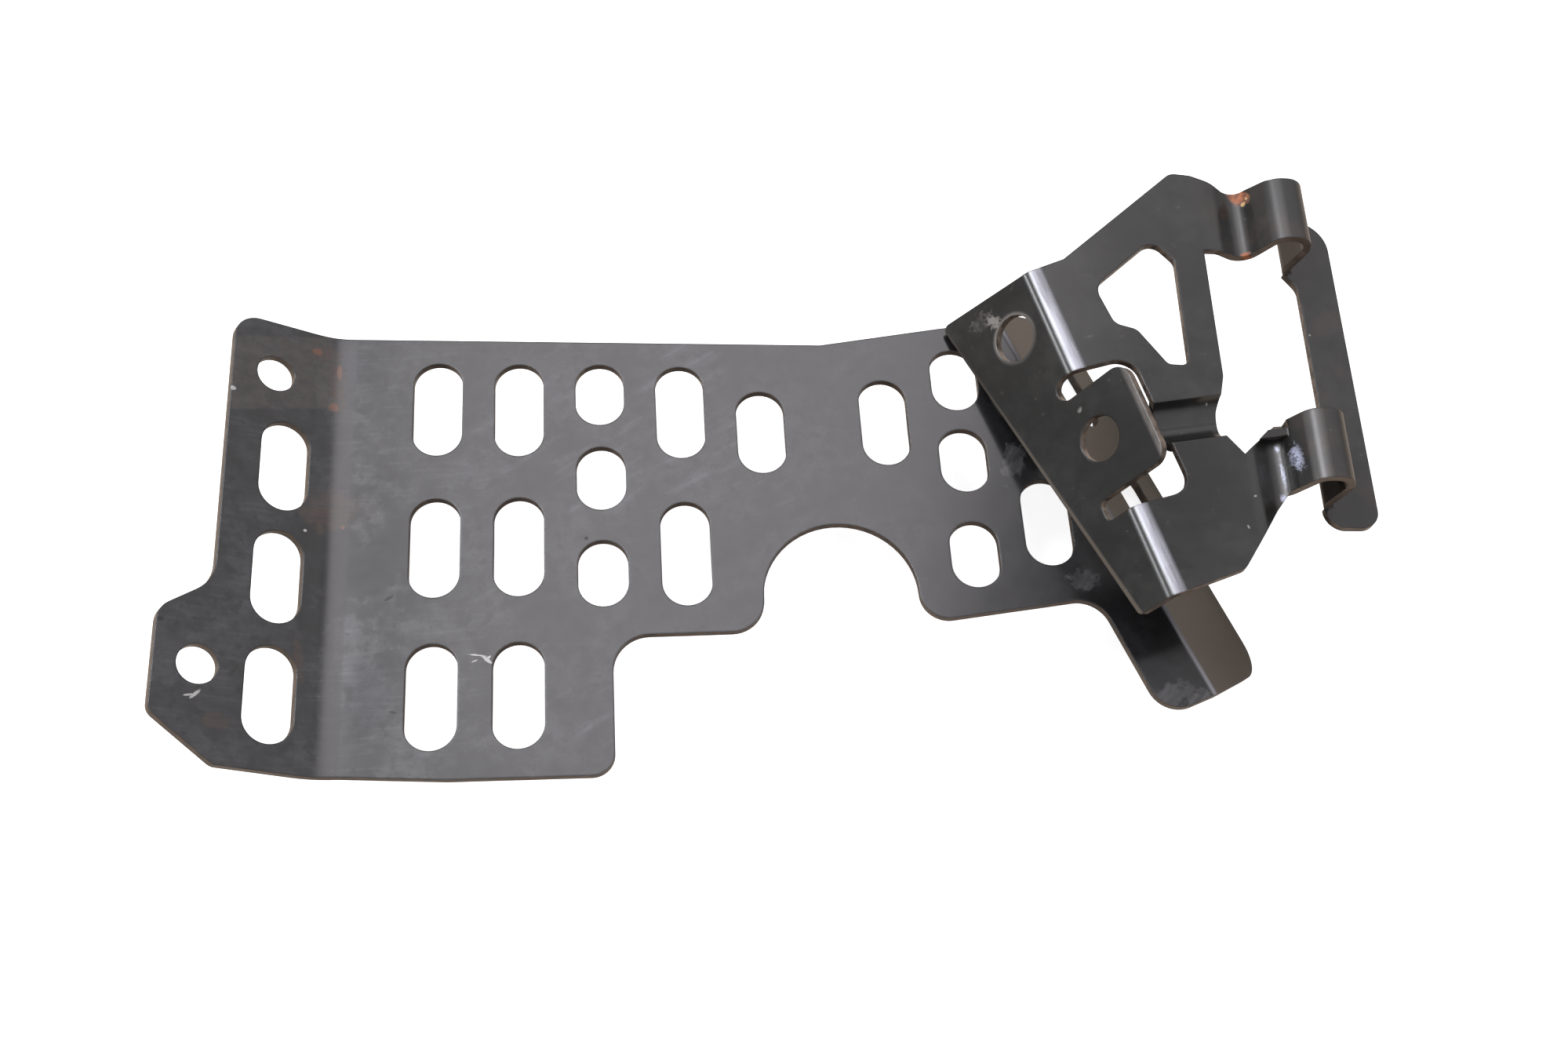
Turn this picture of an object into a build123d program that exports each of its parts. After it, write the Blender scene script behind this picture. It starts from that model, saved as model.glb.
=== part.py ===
"""Slotted guard plate with a folded hook bracket tacked to its corner.

Two pressed steel sheets of one gauge.  The guard plate is flat, with one end bent up as a
mounting wing and the other end folded down as a narrow flange.  The hook bracket leans on
the plate's top corner: a steep holed flange rises to a flat web, a holed tab stands up out
of the web, and two knuckle hooks carry a bar at the far end.  A short tack joins the two.

Frame: the guard plate's underside is the plane Z = 0, X runs from the wing to the hooks, and
Y follows the slots.  Millimetres throughout.
"""

import os
from math import cos, radians, sin, tan

from build123d import *

# ---- sheet ----------------------------------------------------------------------------------
sheet = 1.5

# ---- guard plate: the flat part ---------------------------------------------------------------
top_left_y = 41.0            # top edge, carried on by the wing
top_dip_x = 9.4              # lowest point of the top edge
top_dip_y = 37.9
top_rise_x = 33.0            # the top edge has climbed again here
top_rise_y = 41.2
top_knee_x = 38.6            # under the bracket's flange the edge climbs to the fold
top_knee_y = 41.75
bottom_left_y = -45.2        # bottom edge, carried on by the wing
bottom_sag_x = -60.0
bottom_sag_y = -46.4
foot_x = -31.7               # right side of the deep left half
foot_y = -46.7
foot_corner_r = 4.0
step_y = -21.1               # bottom edge after the step up
step_fillet_r = 6.5
step_corner_r = 6.0
arch_x = 9.6                 # round cut-out in the bottom edge
arch_y = -14.6
arch_r = 14.1
lobe_y = -20.5               # lobe between the cut-out and the leg
lobe_corner_r = 5.2
leg_root_y = -16.7           # bottom edge where it turns down the leg
leg_root_fillet_r = 6.0

# ---- slots: one punch width, several lengths ------------------------------------------------------
slot_width = 9.0
slot_pitch = 15.0
first_column_x = -63.1
first_column_y = (25.5, -3.0, -31.4)
second_column_y = (25.0, -3.2, -31.6)
long_slot = 19.6
third_column_y = (27.9, 10.2, -9.0)
short_slot = 13.0
fourth_upper_y = 23.8
fourth_lower_y = -5.5
fourth_lower_slot = 20.6
fifth_slot_y = 19.1
fifth_slot = 17.3
arch_slot_x = 20.4
arch_slot_y = 20.6
arch_slot = 18.2
corner_column_x = 34.7
corner_column_y = (29.5, 12.1, -7.4)
corner_slot = 13.2
fold_slot_x = 48.9
fold_slot_y = -1.3
fold_slot = 17.6

# ---- mounting wing, bent up -------------------------------------------------------------------------
wing_angle = 31.5
wing_crease_x = -82.0        # where the two upper faces would meet
wing_bend_r = 13.0           # on the upper face
wing_reach = 19.5            # crease to the short edge
wing_corner_r = 4.5
lug_reach = 28.6             # crease to the edge of the lower lug
lug_shoulder_y = -12.9       # slanted shoulder from the short edge to the lug
lug_top_y = -19.4
lug_fillet_r = 7.0
lug_corner_r = 4.5
lug_bevel_y = -37.4          # bevelled lower corner of the lug
lug_bevel_reach = 17.3
lug_bevel_r = 2.5
wing_slot = 17.6
wing_slot_reach = 8.7
wing_slot_y = (11.9, -9.8, -31.6)
wing_hole_d = 7.0
upper_hole_reach = 11.4
upper_hole_y = 30.3
lower_hole_reach = 21.2
lower_hole_y = -28.3

# ---- leg and its flange, folded down ------------------------------------------------------------------
fold_angle = 40.0
fold_x = 68.5                # a point on the fold, on the upper face
fold_y = -19.2
fold_slant = 20.9            # fold line against -Y
fold_inner_r = 0.6
fold_above = 68.6            # length of the fold above that point
fold_below = 18.2
leg_width = 10.5
leg_corner_r = 5.5
flange_width = 24.5          # fold to the free edge, upper part
flange_top_r = 5.0
flange_step = 12.0           # the free edge steps in here
flange_step_run = 6.0
flange_foot_width = 21.6
flange_foot_rise = 3.6       # the foot's lower edge slants by this
flange_foot_r = 7.5
flange_slot = 19.6
flange_slot_in = 13.2
flange_slot_at = (51.5, 22.0)

# ---- hook bracket, in its own plan ------------------------------------------------------------------------
bracket_turn = -2.3          # bracket against the plate, seen from above
rake = 53.0                  # steep flange against the web
ridge_x = 45.3               # top end of the ridge line
ridge_y = 43.6
ridge_slant = 16.56          # ridge line against -Y
ridge_bend_r = 1.6           # inner radius
rake_length = 68.6
rake_width = 22.3            # ridge line to the corner that rests on the plate
rake_foot_width = 7.7        # ridge line to the corner at the far end
rake_skew = 2.3              # the flange's top edge runs back by this
rake_corner_r = 1.2
rake_hole_d = 8.8
rake_hole_at = 9.6
rake_hole_down = 8.4
tab_from = 26.8
tab_to = 46.8
tab_height = 10.0            # above the ridge line
tab_corner_r = 3.2
tab_hole_d = 8.4
tab_hole_at = 36.6
tab_hole_down = 0.6
relief_from = 22.4           # opening that the tab was left standing in
relief_to = 50.9
relief_reach = 11.7
relief_corner_r = 4.0
upper_relief_down = 4.9      # the opening's two ends run on into the flange
lower_relief_down = 5.9
lower_relief_r = 1.2

web_shoulder = (52.3, 46.4)  # outline of the web, clockwise from the ridge
web_peak = (75.0, 66.8)
web_peak_end = (78.9, 66.4)
web_peak_r = 2.5
web_neck = (85.2, 63.8)      # narrowed to the upper hook
web_neck_end = (89.4, 63.6)
window_x = 79.5              # left side of the window between the hooks
window_waist_x = 78.1        # drawn in where the channel runs out
window_waist_top = 21.5
window_waist_foot = 9.5
window_waist_r = 4.0
vee_x = 81.3                 # V-shaped corner at the lower hook's root
vee_y = 5.4
web_waist_x = 89.0           # narrowed to the lower hook
web_waist = (86.4, -4.9)
web_heel = (78.3, -17.1)
web_heel_r = 2.5

truss_left = (57.6, 40.4)    # three-sided lightening hole with a waved side
truss_left_r = 3.6
truss_top = (69.6, 51.2)
truss_top_r = 2.6
truss_shoulder = (73.6, 46.6)
truss_shoulder_r = 2.6
truss_foot = (73.5, 23.6)
truss_foot_r = 1.5
truss_toe = (69.6, 23.8)
truss_toe_r = 1.5
truss_knee = (64.6, 31.2)
truss_knee_r = 2.5
truss_hip = (60.6, 32.4)
truss_hip_r = 2.5

bead_width = 8.4             # channel pressed down across the web
bead_depth = 3.4
bead_turn = 9.0
bead_x = 72.5
bead_y = 12.4

hook_root_x = 82.6           # the web starts to dip
hook_root_r = 3.0
hook_dip_x = 87.8
hook_dip = 2.9
hook_dip_r = 2.6
hook_rise_x = 92.9
hook_crest = 4.6             # crest above the web
hook_crest_r = 2.6
hook_nose_x = 101.3
hook_drop = 12.0             # crest to bar
hook_heel_x = 97.9
hook_heel_r = 1.2
upper_hook_y = 56.0
upper_hook_width = 13.6
lower_hook_y = 5.5
lower_hook_width = 14.0
bar_x = 99.7
bar_width = 7.4
bar_top_trim = 1.0           # the bar stops short of the upper hook's outer edge
bar_top_r = 7.2
bar_foot = 4.0               # the bar runs on below the lower hook
bar_foot_inner_r = 3.8
bar_foot_outer_r = 3.4
bar_gusset_r = 4.0
bar_gusset = 3.4             # slanted corners between bar and hooks
bar_gusset_x = 97.3

# ---- tack between the two sheets ---------------------------------------------------------------------------
tack_r = 1.6
tack_start = 0.8             # from the corner that rests on the plate
tack_length = 3.6
tack_inset = 1.0

os.makedirs("parts", exist_ok=True)


def beside(origin, slant):
    """Places beside a line that runs down from its origin at a slant from -Y.

    Returns a function (s, u) -> (x, y): s along the line, u to its +X side.
    """
    a = radians(slant)

    def place(s, u):
        return (
            origin[0] + s * sin(a) + u * cos(a),
            origin[1] - s * cos(a) + u * sin(a),
        )

    return place


def soften(drawing, corners):
    """Round the corner of a drawing nearest each place by the radius given with it."""
    for place, radius in corners:
        corner = drawing.vertices().sort_by(lambda v: (Vector(v) - Vector(*place)).length)[0]
        fillet(corner, radius)


def bent_sheet(stations):
    """Corners of a bent sheet seen edge on, from the corners of its upper face.

    Each station is a corner and the inner radius of the bend there.  Returns the upper
    corners, the lower corners, and the radius for every corner of a bend.
    """
    points = [Vector(*place) for place, _ in stations]
    ways = [(b - a).normalized() for a, b in zip(points, points[1:])]
    ways = [ways[0], *ways, ways[-1]]
    upper = []
    lower = []
    rounds = []
    for point, (_, inner), before, after in zip(points, stations, ways, ways[1:]):
        below = Vector(before.Y, -before.X) + Vector(after.Y, -after.X)
        under = point + below * (2 * sheet / below.dot(below))
        upper.append((point.X, point.Y))
        lower.append((under.X, under.Y))
        if inner:
            hollow = before.X * after.Y > before.Y * after.X
            rounds.append((upper[-1], inner if hollow else inner + sheet))
            rounds.append((lower[-1], inner + sheet if hollow else inner))
    return upper, lower, rounds


def fold_plane(origin, across, angle):
    """Upper face of a sheet folded down by an angle across a line.

    Local X runs down the folded sheet and local Y back up the line.
    """
    a = radians(angle)
    return Plane(
        origin=origin,
        x_dir=(across[0] * cos(a), across[1] * cos(a), -sin(a)),
        z_dir=(across[0] * sin(a), across[1] * sin(a), cos(a)),
    )


def direction(slant):
    """Unit vectors of a slanted line: back up the line, and across to its +X side."""
    a = radians(slant)
    return (-sin(a), cos(a), 0), (cos(a), sin(a), 0)


# ---- guard plate -----------------------------------------------------------------------------------------------

plate_top = Plane.XY.offset(sheet)
wing_set = wing_bend_r * tan(radians(wing_angle / 2))
wing_start_x = wing_crease_x + wing_set
wing_plane = fold_plane((wing_crease_x, 0, sheet), (-1, 0, 0), -wing_angle)

fold = beside((fold_x, fold_y), fold_slant)
fold_up, fold_across = direction(fold_slant)
fold_outer_r = fold_inner_r + sheet
fold_set = fold_outer_r * tan(radians(fold_angle / 2))
fold_start = (*fold(0, -fold_set), sheet)
flange_plane = fold_plane((fold_x, fold_y, sheet), fold_across, fold_angle)

leg_drop = leg_root_y - fold_y + leg_width * sin(radians(fold_slant))
leg_root = fold(-leg_drop / cos(radians(fold_slant)), -leg_width)
leg_corner = fold(fold_below, -leg_width)
arch_left_x = arch_x - arch_r
arch_right_x = arch_x + arch_r

slots = [(first_column_x, y, long_slot) for y in first_column_y]
slots += [(first_column_x + slot_pitch, y, long_slot) for y in second_column_y]
slots += [(first_column_x + 2 * slot_pitch, y, short_slot) for y in third_column_y]
slots += [
    (first_column_x + 3 * slot_pitch, fourth_upper_y, long_slot),
    (first_column_x + 3 * slot_pitch, fourth_lower_y, fourth_lower_slot),
    (first_column_x + 4 * slot_pitch, fifth_slot_y, fifth_slot),
    (arch_slot_x, arch_slot_y, arch_slot),
    (fold_slot_x, fold_slot_y, fold_slot),
]
slots += [(corner_column_x, y, corner_slot) for y in corner_column_y]

with BuildPart() as guard_plate:
    # flat middle, from the wing's bend to the fold
    with BuildSketch(plate_top) as flat:
        with BuildLine():
            Polyline(
                (arch_right_x, arch_y),
                (arch_right_x, lobe_y),
                leg_root,
                leg_corner,
                fold(fold_below, -fold_set),
                fold(-fold_above, -fold_set),
                (top_knee_x, top_knee_y),
                (top_rise_x, top_rise_y),
                (top_dip_x, top_dip_y),
                (wing_start_x, top_left_y),
                (wing_start_x, bottom_left_y),
                (bottom_sag_x, bottom_sag_y),
                (foot_x, foot_y),
                (foot_x, step_y),
                (arch_left_x, step_y),
                (arch_left_x, arch_y),
            )
            ThreePointArc(
                (arch_left_x, arch_y),
                (arch_x, arch_y + arch_r),
                (arch_right_x, arch_y),
            )
        make_face()
        soften(
            flat,
            (
                ((arch_right_x, lobe_y), lobe_corner_r),
                (leg_root, leg_root_fillet_r),
                (leg_corner, leg_corner_r),
                ((foot_x, foot_y), foot_corner_r),
                ((foot_x, step_y), step_fillet_r),
                ((arch_left_x, step_y), step_corner_r),
            ),
        )
        for x, y, length in slots:
            with Locations((x, y)):
                SlotOverall(length, slot_width, rotation=90, mode=Mode.SUBTRACT)
    extrude(amount=-sheet)

    # wing: a wide bend, then the holed end
    with BuildSketch(Plane(origin=(wing_start_x, 0, sheet), x_dir=(0, 1, 0), z_dir=(1, 0, 0))):
        with Locations(((top_left_y + bottom_left_y) / 2, -sheet / 2)):
            Rectangle(top_left_y - bottom_left_y, sheet)
    revolve(
        axis=Axis((wing_start_x, 0, sheet + wing_bend_r), (0, 1, 0)),
        revolution_arc=wing_angle,
    )
    with BuildSketch(wing_plane) as wing:
        with BuildLine():
            Polyline(
                (wing_set, -top_left_y),
                (wing_reach, -top_left_y),
                (wing_reach, -lug_shoulder_y),
                (lug_reach, -lug_top_y),
                (lug_reach, -lug_bevel_y),
                (lug_bevel_reach, -bottom_left_y),
                (wing_set, -bottom_left_y),
                close=True,
            )
        make_face()
        soften(
            wing,
            (
                ((wing_reach, -top_left_y), wing_corner_r),
                ((wing_reach, -lug_shoulder_y), lug_fillet_r),
                ((lug_reach, -lug_top_y), lug_corner_r),
                ((lug_reach, -lug_bevel_y), lug_bevel_r),
                ((lug_bevel_reach, -bottom_left_y), lug_bevel_r),
            ),
        )
        with Locations(*[(wing_slot_reach, -y) for y in wing_slot_y]):
            SlotOverall(wing_slot, slot_width, rotation=90, mode=Mode.SUBTRACT)
        with Locations((upper_hole_reach, -upper_hole_y), (lower_hole_reach, -lower_hole_y)):
            Circle(wing_hole_d / 2, mode=Mode.SUBTRACT)
    extrude(amount=-sheet)

    # flange: a tight fold, then the slotted strip
    with BuildSketch(Plane(origin=fold_start, x_dir=fold_up, z_dir=fold_across)):
        with Locations(((fold_above - fold_below) / 2, -sheet / 2)):
            Rectangle(fold_above + fold_below, sheet)
    revolve(
        axis=Axis((fold_start[0], fold_start[1], sheet - fold_outer_r), fold_up),
        revolution_arc=fold_angle,
    )
    with BuildSketch(flange_plane) as flange:
        with BuildLine():
            Polyline(
                (fold_set, -fold_below),
                (flange_foot_width, flange_foot_rise - fold_below),
                (flange_foot_width, flange_step - flange_step_run),
                (flange_width, flange_step),
                (flange_width, fold_above),
                (fold_set, fold_above),
                close=True,
            )
        make_face()
        soften(
            flange,
            (
                ((flange_foot_width, flange_foot_rise - fold_below), flange_foot_r),
                ((flange_width, fold_above), flange_top_r),
            ),
        )
        with Locations(*[(flange_slot_in, at) for at in flange_slot_at]):
            SlotOverall(flange_slot, slot_width, rotation=90, mode=Mode.SUBTRACT)
    extrude(amount=-sheet)


# ---- hook bracket ------------------------------------------------------------------------------------------------

ridge = beside((ridge_x, ridge_y), ridge_slant)
ridge_up, ridge_across = direction(ridge_slant)
ridge_outer_r = ridge_bend_r + sheet
ridge_set = ridge_outer_r * tan(radians(rake / 2))
rake_drop = rake_width * sin(radians(rake)) + sheet * cos(radians(rake))
web_z = sheet + rake_drop    # so that the flange's lower corner rests on the plate
bar_z = web_z + hook_crest - hook_drop
rake_plane = fold_plane(
    (ridge_x, ridge_y, web_z), (-ridge_across[0], -ridge_across[1], 0), rake
)

upper_hook_top = upper_hook_y + upper_hook_width / 2
upper_hook_foot = upper_hook_y - upper_hook_width / 2
lower_hook_top = lower_hook_y + lower_hook_width / 2
lower_hook_foot = lower_hook_y - lower_hook_width / 2
strip_end_x = bar_x + 0.2
bar_right_x = bar_x + bar_width
vee_rise_x = vee_x + lower_hook_top - vee_y

# the web and both hook strips seen from above, with the openings through them
with BuildPart() as plan:
    with BuildSketch() as outline:
        with BuildLine():
            Polyline(
                ridge(0, ridge_set),
                web_shoulder,
                web_peak,
                web_peak_end,
                web_neck,
                web_neck_end,
                (hook_rise_x, upper_hook_top),
                (strip_end_x, upper_hook_top),
                (strip_end_x, upper_hook_foot),
                (window_x, upper_hook_foot),
                (window_x, window_waist_top),
                (window_waist_x, (window_waist_top + window_waist_foot) / 2),
                (window_waist_x, window_waist_foot),
                (vee_x, vee_y),
                (vee_rise_x, lower_hook_top),
                (strip_end_x, lower_hook_top),
                (strip_end_x, lower_hook_foot),
                (web_waist_x, lower_hook_foot),
                web_waist,
                web_heel,
                ridge(rake_length, ridge_set),
                close=True,
            )
        make_face()
        with BuildLine():
            Polyline(
                truss_left,
                truss_top,
                truss_shoulder,
                truss_foot,
                truss_toe,
                truss_knee,
                truss_hip,
                close=True,
            )
        make_face(mode=Mode.SUBTRACT)
        with BuildLine():
            Polyline(
                ridge(relief_from, 0),
                ridge(relief_from, relief_reach),
                ridge(relief_to, relief_reach),
                ridge(relief_to, 0),
                close=True,
            )
        make_face(mode=Mode.SUBTRACT)
        soften(
            outline,
            (
                (web_peak, web_peak_r),
                (web_peak_end, web_peak_r),
                (web_heel, web_heel_r),
                ((window_x, window_waist_top), window_waist_r),
                ((window_waist_x, (window_waist_top + window_waist_foot) / 2), window_waist_r),
                (truss_left, truss_left_r),
                (truss_top, truss_top_r),
                (truss_shoulder, truss_shoulder_r),
                (truss_foot, truss_foot_r),
                (truss_toe, truss_toe_r),
                (truss_knee, truss_knee_r),
                (truss_hip, truss_hip_r),
                (ridge(relief_from, relief_reach), relief_corner_r),
                (ridge(relief_to, relief_reach), relief_corner_r),
            ),
        )
    extrude(amount=2 * web_z)

# the channel pressed into the web between the tab's opening and the window
bead_r = (bead_width**2 / 4 + bead_depth**2) / (2 * bead_depth)
bead_plane = Plane(
    origin=(bead_x, bead_y, web_z - bead_depth + bead_r),
    x_dir=(0, 0, 1),
    z_dir=(cos(radians(bead_turn)), sin(radians(bead_turn)), 0),
)
bead_reach = (window_x - ridge_x) / 2

with BuildPart() as bead_hollow:
    with BuildSketch(bead_plane):
        Circle(bead_r)
    extrude(amount=bead_reach, both=True)

with BuildPart() as bead:
    with BuildSketch(bead_plane):
        Circle(bead_r + sheet)
    extrude(amount=bead_reach, both=True)
    add(bead_hollow.part, mode=Mode.SUBTRACT)
    split(bisect_by=Plane.XY.offset(web_z), keep=Keep.BOTTOM)
    add(plan.part, mode=Mode.INTERSECT)

with BuildPart() as folded:
    # web and hooks as one bent run of sheet, then cut to the plan
    with BuildSketch(Plane.XZ) as section:
        upper, lower, rounds = bent_sheet(
            (
                ((ridge_x, web_z), 0),
                ((hook_root_x, web_z), hook_root_r),
                ((hook_dip_x, web_z - hook_dip), hook_dip_r),
                ((hook_rise_x, web_z + hook_crest), hook_crest_r),
                ((hook_nose_x, web_z + hook_crest), hook_crest_r),
                ((hook_heel_x, bar_z), hook_heel_r),
                ((bar_right_x, bar_z), 0),
            )
        )
        with BuildLine():
            Polyline(*upper, *reversed(lower), close=True)
        make_face()
        soften(section, rounds)
    extrude(amount=web_peak[1] + upper_hook_width, both=True)
    add(plan.part, mode=Mode.INTERSECT)
    add(bead_hollow.part, mode=Mode.SUBTRACT)
    add(bead.part)

    # bar across the two hooks, round at its lower end
    bar_top = upper_hook_top - bar_top_trim
    bar_end = lower_hook_foot - bar_foot
    with BuildSketch(Plane.XY.offset(bar_z)) as bar:
        with BuildLine():
            Polyline(
                (bar_gusset_x, lower_hook_foot),
                (bar_x, lower_hook_foot),
                (bar_x, lower_hook_top),
                (bar_gusset_x, lower_hook_top),
                (bar_x, lower_hook_top + bar_gusset),
                (bar_x, upper_hook_foot - bar_gusset),
                (bar_gusset_x, upper_hook_foot),
                (bar_x, upper_hook_foot),
                (bar_x, bar_top),
                (bar_right_x, bar_top),
                (bar_right_x, bar_end),
                (bar_gusset_x, bar_end),
                close=True,
            )
        make_face()
        soften(
            bar,
            (
                ((bar_right_x, bar_top), bar_top_r),
                ((bar_right_x, bar_end), bar_foot_outer_r),
                ((bar_gusset_x, bar_end), bar_foot_inner_r),
                ((bar_x, lower_hook_top + bar_gusset), bar_gusset_r),
                ((bar_x, upper_hook_foot - bar_gusset), bar_gusset_r),
            ),
        )
    extrude(amount=-sheet)

    # bend along the ridge, on both sides of the tab's opening
    ridge_start = (*ridge(0, ridge_set), web_z)
    with BuildSketch(Plane(origin=ridge_start, x_dir=ridge_up, z_dir=ridge_across)):
        with Locations((-relief_from / 2, -sheet / 2)):
            Rectangle(relief_from, sheet)
        with Locations((-(relief_to + rake_length) / 2, -sheet / 2)):
            Rectangle(rake_length - relief_to, sheet)
    revolve(
        axis=Axis(
            (ridge_start[0], ridge_start[1], web_z - ridge_outer_r),
            (-ridge_up[0], -ridge_up[1], 0),
        ),
        revolution_arc=rake,
    )

    # steep flange, its reliefs, and the tab that stands on in the same plane
    with BuildSketch(rake_plane) as raked:
        with BuildLine():
            Polyline(
                (ridge_set, 0),
                (rake_width, -rake_skew),
                (rake_foot_width, rake_length),
                (ridge_set, rake_length),
                close=True,
            )
        make_face()
        soften(
            raked,
            (
                ((rake_width, -rake_skew), rake_corner_r),
                ((rake_foot_width, rake_length), rake_corner_r),
            ),
        )
        upper_relief_r = (tab_from - relief_from) / 2
        with Locations(((upper_relief_down - upper_relief_r) / 2, relief_from + upper_relief_r)):
            Rectangle(
                upper_relief_down - upper_relief_r,
                2 * upper_relief_r,
                mode=Mode.SUBTRACT,
            )
        with Locations((upper_relief_down - upper_relief_r, relief_from + upper_relief_r)):
            Circle(upper_relief_r, mode=Mode.SUBTRACT)
        with Locations((0, (tab_to + relief_to) / 2)):
            RectangleRounded(
                2 * lower_relief_down,
                relief_to - tab_to,
                lower_relief_r,
                mode=Mode.SUBTRACT,
            )
        with BuildLine():
            Polyline(
                (ridge_set, tab_from),
                (-tab_height, tab_from),
                (-tab_height, tab_to),
                (ridge_set, tab_to),
                close=True,
            )
        make_face()
        soften(
            raked,
            (
                ((-tab_height, tab_from), tab_corner_r),
                ((-tab_height, tab_to), tab_corner_r),
            ),
        )
        with Locations((rake_hole_down, rake_hole_at)):
            Circle(rake_hole_d / 2, mode=Mode.SUBTRACT)
        with Locations((tab_hole_down, tab_hole_at)):
            Circle(tab_hole_d / 2, mode=Mode.SUBTRACT)
    extrude(amount=-sheet)

with BuildPart() as hook_bracket:
    add(folded.part, rotation=(0, 0, bracket_turn))


# ---- tack: fills the narrow gap under the flange's resting corner ------------------------------------------------

rake_run = (rake_width - rake_foot_width) * cos(radians(rake)) / (rake_length + rake_skew)
seat_u = sheet * sin(radians(rake)) - rake_width * cos(radians(rake)) + tack_inset


def seat(distance):
    """A place on the plate beside the flange's lower edge, inside the bracket."""
    s = distance - rake_skew
    x, y = ridge(s, seat_u + distance * rake_run)
    a = radians(bracket_turn)
    return Vector(x * cos(a) - y * sin(a), x * sin(a) + y * cos(a), sheet)


tack_from = seat(tack_start)
tack_to = seat(tack_start + tack_length)

with BuildPart() as corner_tack:
    with BuildSketch(Plane(origin=tack_from, z_dir=tack_to - tack_from)):
        Circle(tack_r)
    extrude(amount=tack_length)
    add(guard_plate.part, mode=Mode.SUBTRACT)
    split(bisect_by=plate_top, keep=Keep.TOP)
    add(hook_bracket.part, mode=Mode.SUBTRACT)


guard_plate.part.label = "guard_plate"
export_step(guard_plate.part, "parts/guard_plate.step")

hook_bracket.part.label = "hook_bracket"
export_step(hook_bracket.part, "parts/hook_bracket.step")

corner_tack.part.label = "corner_tack"
export_step(corner_tack.part, "parts/corner_tack.step")
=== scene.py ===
"""Finish for the slotted guard plate with its hook bracket.

Laid out as an add-on and run as a script: each operator finishes or adds one piece, or sets
up the studio, and the panel lists them.  Metres, in the part's own frame: x along the plate,
z up, zero at the plate's underside.
"""

import bpy
import numpy as np
from mathutils import Matrix, Vector


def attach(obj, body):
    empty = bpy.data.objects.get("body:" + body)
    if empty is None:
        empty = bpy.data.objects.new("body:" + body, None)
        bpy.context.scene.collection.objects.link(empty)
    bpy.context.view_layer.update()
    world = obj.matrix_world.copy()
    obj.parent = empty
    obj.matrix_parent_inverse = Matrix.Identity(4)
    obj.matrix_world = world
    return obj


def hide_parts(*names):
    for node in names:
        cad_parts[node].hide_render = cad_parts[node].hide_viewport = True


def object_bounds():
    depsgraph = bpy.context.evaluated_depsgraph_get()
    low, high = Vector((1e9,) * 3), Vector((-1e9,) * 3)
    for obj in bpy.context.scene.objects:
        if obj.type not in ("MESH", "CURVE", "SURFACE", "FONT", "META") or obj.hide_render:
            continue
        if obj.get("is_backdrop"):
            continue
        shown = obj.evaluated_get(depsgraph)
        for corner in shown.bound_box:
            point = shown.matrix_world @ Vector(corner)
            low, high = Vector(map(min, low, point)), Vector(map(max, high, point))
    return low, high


bl_info = {
    "name": "Stamped bracket finish",
    "version": (1, 0, 0),
    "blender": (4, 5, 0),
    "location": "View3D > Sidebar > Bracket",
    "description": "Worn black paint, weld and studio for a stamped steel bracket",
    "category": "Object",
}

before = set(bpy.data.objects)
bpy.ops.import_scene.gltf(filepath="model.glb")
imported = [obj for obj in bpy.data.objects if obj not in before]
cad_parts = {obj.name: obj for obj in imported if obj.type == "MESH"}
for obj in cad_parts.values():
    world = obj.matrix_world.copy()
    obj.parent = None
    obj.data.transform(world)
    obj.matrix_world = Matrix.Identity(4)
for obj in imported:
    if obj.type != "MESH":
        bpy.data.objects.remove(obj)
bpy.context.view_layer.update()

MM = 0.001

# settings of the nodes that are used most
SMOOTH = {"interpolation_type": "SMOOTHSTEP"}
TIMES = {"operation": "MULTIPLY"}
TIMES_PLUS = {"operation": "MULTIPLY_ADD"}
LARGER = {"operation": "MAXIMUM"}
ALONG = {"operation": "DOT_PRODUCT", "out": "Value"}


# ---- nodes and patterns ----------------------------------------------------------------------


def linear(code):
    """Linear colour of an sRGB hex value."""
    parts = np.array([int(code[i : i + 2], 16) / 255 for i in (1, 3, 5)])
    low = parts / 12.92
    high = ((parts + 0.055) / 1.055) ** 2.4
    return tuple(float(x) for x in np.where(parts <= 0.04045, low, high))


def solid(colour):
    """Colour with full alpha, from an sRGB hex value or from its linear parts."""
    return (*(linear(colour) if isinstance(colour, str) else colour), 1.0)


def add_node(tree, kind, inputs=(), out=0, **settings):
    """Add a node with its settings and links, and give one of its outputs.

    The inputs are a list in the node's own order, or a dict by their names or numbers.  An
    input given as a socket is linked, any other is set.
    """
    node = tree.nodes.new("ShaderNode" + kind)
    for name, value in settings.items():
        setattr(node, name, value)
    for name, value in inputs.items() if isinstance(inputs, dict) else enumerate(inputs):
        if isinstance(value, bpy.types.NodeSocket):
            tree.links.new(value, node.inputs[name])
        else:
            node.inputs[name].default_value = value
    return node.outputs[out] if node.outputs else None


def empty_material(name):
    """New material with no nodes in it."""
    material = bpy.data.materials.new(name)
    material.use_nodes = True
    material.node_tree.nodes.clear()
    return material


def together(tree, share, *others):
    """Share that holds as far as all of the shares do: their product."""
    for other in others:
        share = add_node(tree, "Math", [share, other], **TIMES)
    return share


def toned(tree, under, over, *shares):
    """Colour under turned towards over by the product of the shares.

    Either colour is a socket, an sRGB hex value or its linear parts.
    """
    under, over = (
        colour if isinstance(colour, bpy.types.NodeSocket) else solid(colour)
        for colour in (under, over)
    )
    # a Mix node has its share at 0 and its two colours at 6 and 7, and its colour out at 2
    mixed = {0: together(tree, *shares), 6: under, 7: over}
    return add_node(tree, "Mix", mixed, out=2, data_type="RGBA")


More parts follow.
